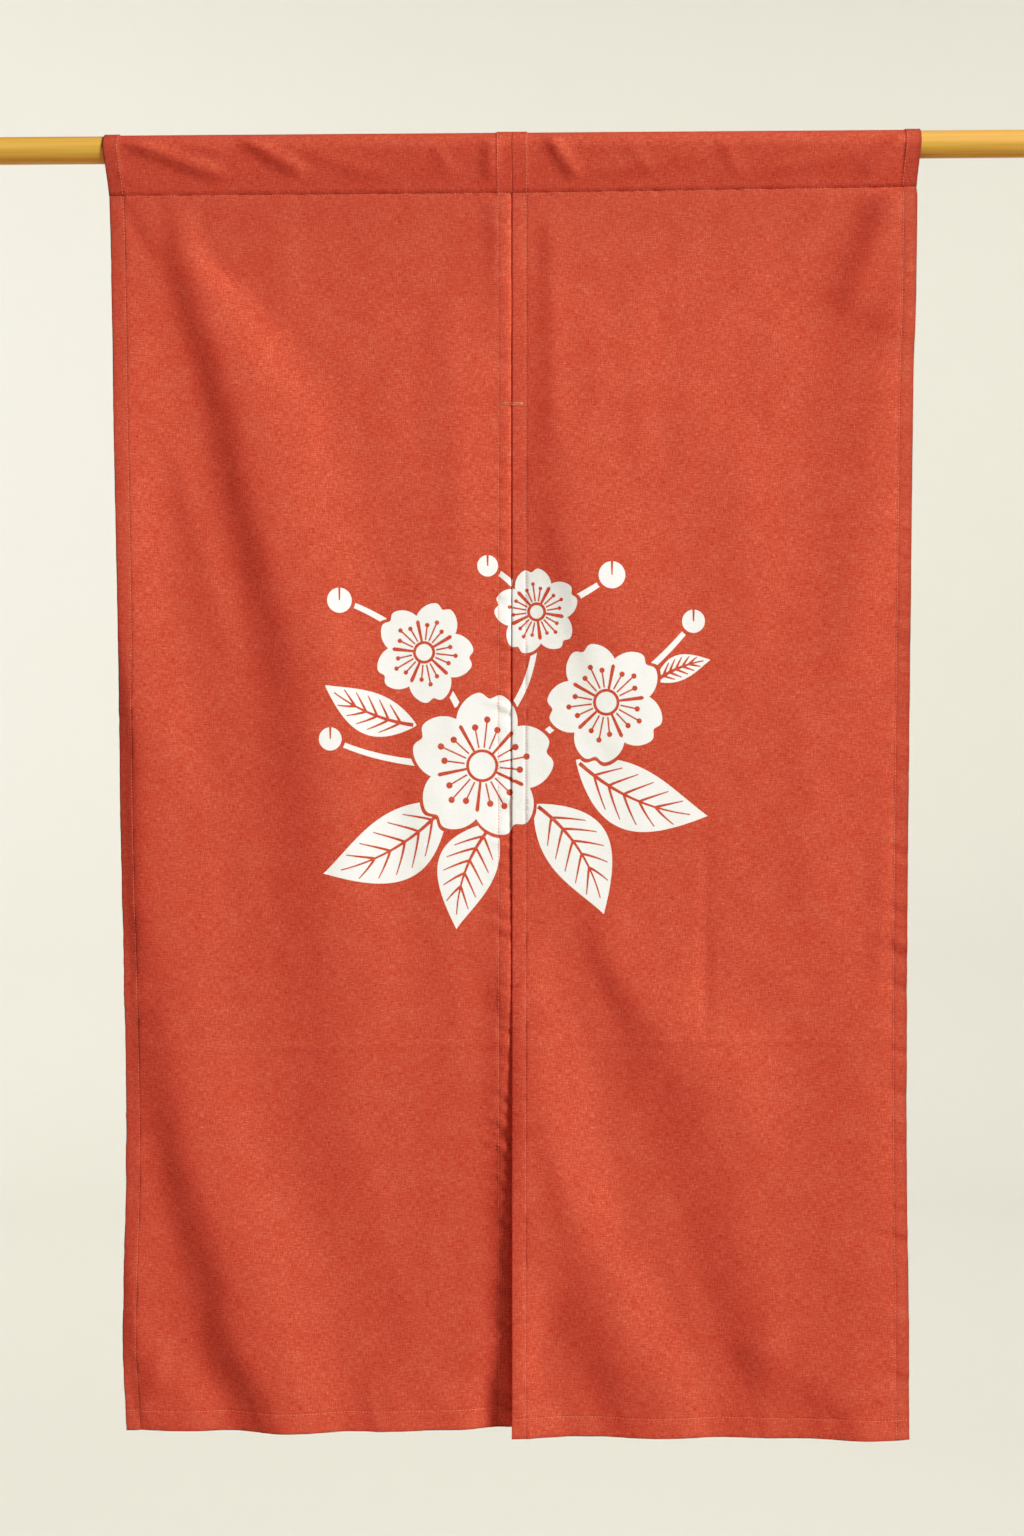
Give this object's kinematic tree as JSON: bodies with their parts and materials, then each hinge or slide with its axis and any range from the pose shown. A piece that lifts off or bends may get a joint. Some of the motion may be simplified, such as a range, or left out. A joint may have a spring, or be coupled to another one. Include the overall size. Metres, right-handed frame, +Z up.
{
  "type": "noren curtain on rod",
  "caption": "Split doorway curtain of red cloth panels joined at the top, hung by a sewn sleeve on a round wooden rod, with a white flower spray across the slit.",
  "frame": {"origin": "centre of the rod's left end face, on the rod's axis", "axes": "+X along the rod towards its right end, +Y away from the viewer through the cloth, +Z up"},
  "size_m": [1.2, 0.0337, 1.3572],
  "materials": {
    "cloth": "matt plain-woven linen-look cotton, coral red",
    "rod": "satin-varnished honey-coloured wood"
  },
  "bodies": {
    "root": {"left_panel": "cloth", "right_panel": "cloth", "rod": "rod"}
  },
  "joints": []
}
